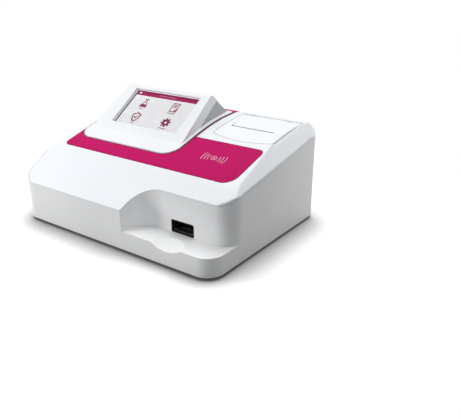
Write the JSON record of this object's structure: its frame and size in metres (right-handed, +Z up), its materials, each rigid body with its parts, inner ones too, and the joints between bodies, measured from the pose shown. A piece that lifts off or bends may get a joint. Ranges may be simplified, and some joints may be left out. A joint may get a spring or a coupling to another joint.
{
  "type": "immunoassay analyzer",
  "caption": "Benchtop analyzer with a sloping front, raised touch screen, lidded thermal printer and a motor-driven tray for a test cassette.",
  "frame": {"origin": "centre of the footprint on the bench, under the feet", "axes": "+X along the front from left to right, front faces -Y, +Z up"},
  "size_m": [0.29, 0.21, 0.1432],
  "materials": {
    "white_case": "fine satin moulded plastic",
    "white_cover": "fine satin moulded plastic",
    "magenta_film": "satin printed overlay",
    "shell_grey": "fine satin moulded plastic",
    "black_plastic": "satin",
    "dark_plastic": "satin",
    "screen_glass": "polished",
    "screen_face": "lit display face",
    "circuit_green": "solder mask",
    "circuit_black": "chip resin",
    "steel": "turned or folded steel",
    "bright_steel": "plated",
    "alloy": "machined",
    "black_alloy": "black anodised",
    "bronze": "sintered",
    "gear_plastic": "acetal",
    "foot_rubber": "matt",
    "belt_rubber": "moulded",
    "platen_rubber": "ground",
    "paper": "thermal paper",
    "card": "wound card tube",
    "lens_glass": "polished",
    "ribbon": "flexible film"
  },
  "bodies": {
    "casing": {"lower_case": "white_case", "upper_cover": "white_cover", "rubber_feet": "foot_rubber", "case_screws": "bright_steel", "slot_liner": "black_plastic", "colour_overlay": "magenta_film", "display_bezel": "white_cover", "display_rear_shell": "shell_grey", "touch_glass": "screen_glass", "lcd_panel": "screen_face", "display_frame": "steel", "display_screws": "bright_steel", "display_board": "circuit_green", "display_ribbon": "ribbon", "printer_frame": "dark_plastic", "lid_hinge_pin": "bright_steel", "printer_motor": "steel", "print_head": "alloy", "roll_spindle": "dark_plastic", "chassis_plate": "steel", "chassis_screws": "bright_steel", "guide_rods": "bright_steel", "rod_brackets": "alloy", "timing_belt": "belt_rubber", "stepper_motor": "black_alloy", "motor_bracket": "steel", "idler_bracket": "steel", "optics_bridge": "black_alloy", "optical_block": "black_alloy", "beam_splitter": "lens_glass", "lens_barrel": "black_alloy", "objective_lens": "lens_glass", "excitation_led": "bright_steel", "detector_board": "circuit_green", "main_board": "circuit_green", "board_parts": "circuit_black", "rear_panel": "dark_plastic", "panel_screws": "bright_steel", "power_jack": "black_plastic", "usb_ports": "bright_steel", "lan_port": "bright_steel", "rocker_housing": "black_plastic", "reader_board": "circuit_green"},
    "lid": {"printer_lid": "white_cover", "platen_bushes": "bronze"},
    "platen": {"platen_shaft": "bright_steel", "platen_roller": "platen_rubber", "platen_gear": "gear_plastic"},
    "transfer": {"transfer_gear": "gear_plastic"},
    "pinion": {"motor_pinion": "bronze"},
    "roll": {"paper_roll": "paper", "roll_core": "card"},
    "carriage": {"carriage_block": "dark_plastic", "carriage_bushes": "bronze", "cassette_tray": "black_plastic", "belt_clip": "dark_plastic"},
    "drive": {"drive_pulley": "alloy", "motor_shaft": "bright_steel"},
    "idler": {"idler_pulley": "alloy"},
    "rocker": {"power_rocker": "black_plastic"}
  },
  "joints": [
    {"name": "lid_hinge", "type": "hinge", "parent": "casing", "child": "lid", "pos_m": [0.08625, 0.0955, 0.11485], "axis": [-1, 0, 0], "range_deg": [0, 90]},
    {"name": "platen_spin", "type": "hinge", "parent": "lid", "child": "platen", "pos_m": [0.08415, 0.0595, 0.10457], "axis": [1, 0, 0], "continuous": true},
    {"name": "transfer_spin", "type": "hinge", "parent": "casing", "child": "transfer", "pos_m": [0.08415, 0.0519, 0.0914], "axis": [1, 0, 0], "continuous": true},
    {"name": "pinion_spin", "type": "hinge", "parent": "casing", "child": "pinion", "pos_m": [0.08415, 0.04316, 0.08099], "axis": [1, 0, 0], "continuous": true},
    {"name": "roll_spin", "type": "hinge", "parent": "casing", "child": "roll", "pos_m": [0.08415, 0.0705, 0.08149], "axis": [1, 0, 0], "continuous": true},
    {"name": "tray_slide", "type": "slide", "parent": "casing", "child": "carriage", "axis": [0, -1, 0], "range_m": [0, 0.045]},
    {"name": "drive_spin", "type": "hinge", "parent": "casing", "child": "drive", "pos_m": [0.0493, 0.05, 0.025], "axis": [1, 0, 0], "range_deg": [-5, 415]},
    {"name": "idler_spin", "type": "hinge", "parent": "casing", "child": "idler", "pos_m": [0.0493, -0.058, 0.025], "axis": [1, 0, 0], "range_deg": [-5, 415]},
    {"name": "rocker_tilt", "type": "hinge", "parent": "casing", "child": "rocker", "pos_m": [-0.035, 0.0987, 0.026], "axis": [0, 0, 1], "range_deg": [0, 14]}
  ],
  "couplings": [
    {"joint": "platen_spin", "follows": "roll_spin", "ratio": 5},
    {"joint": "transfer_spin", "follows": "roll_spin", "ratio": -2.9167},
    {"joint": "pinion_spin", "follows": "roll_spin", "ratio": 7},
    {"joint": "drive_spin", "follows": "tray_slide", "rad_per_m": 157.08},
    {"joint": "idler_spin", "follows": "tray_slide", "rad_per_m": 157.08}
  ]
}
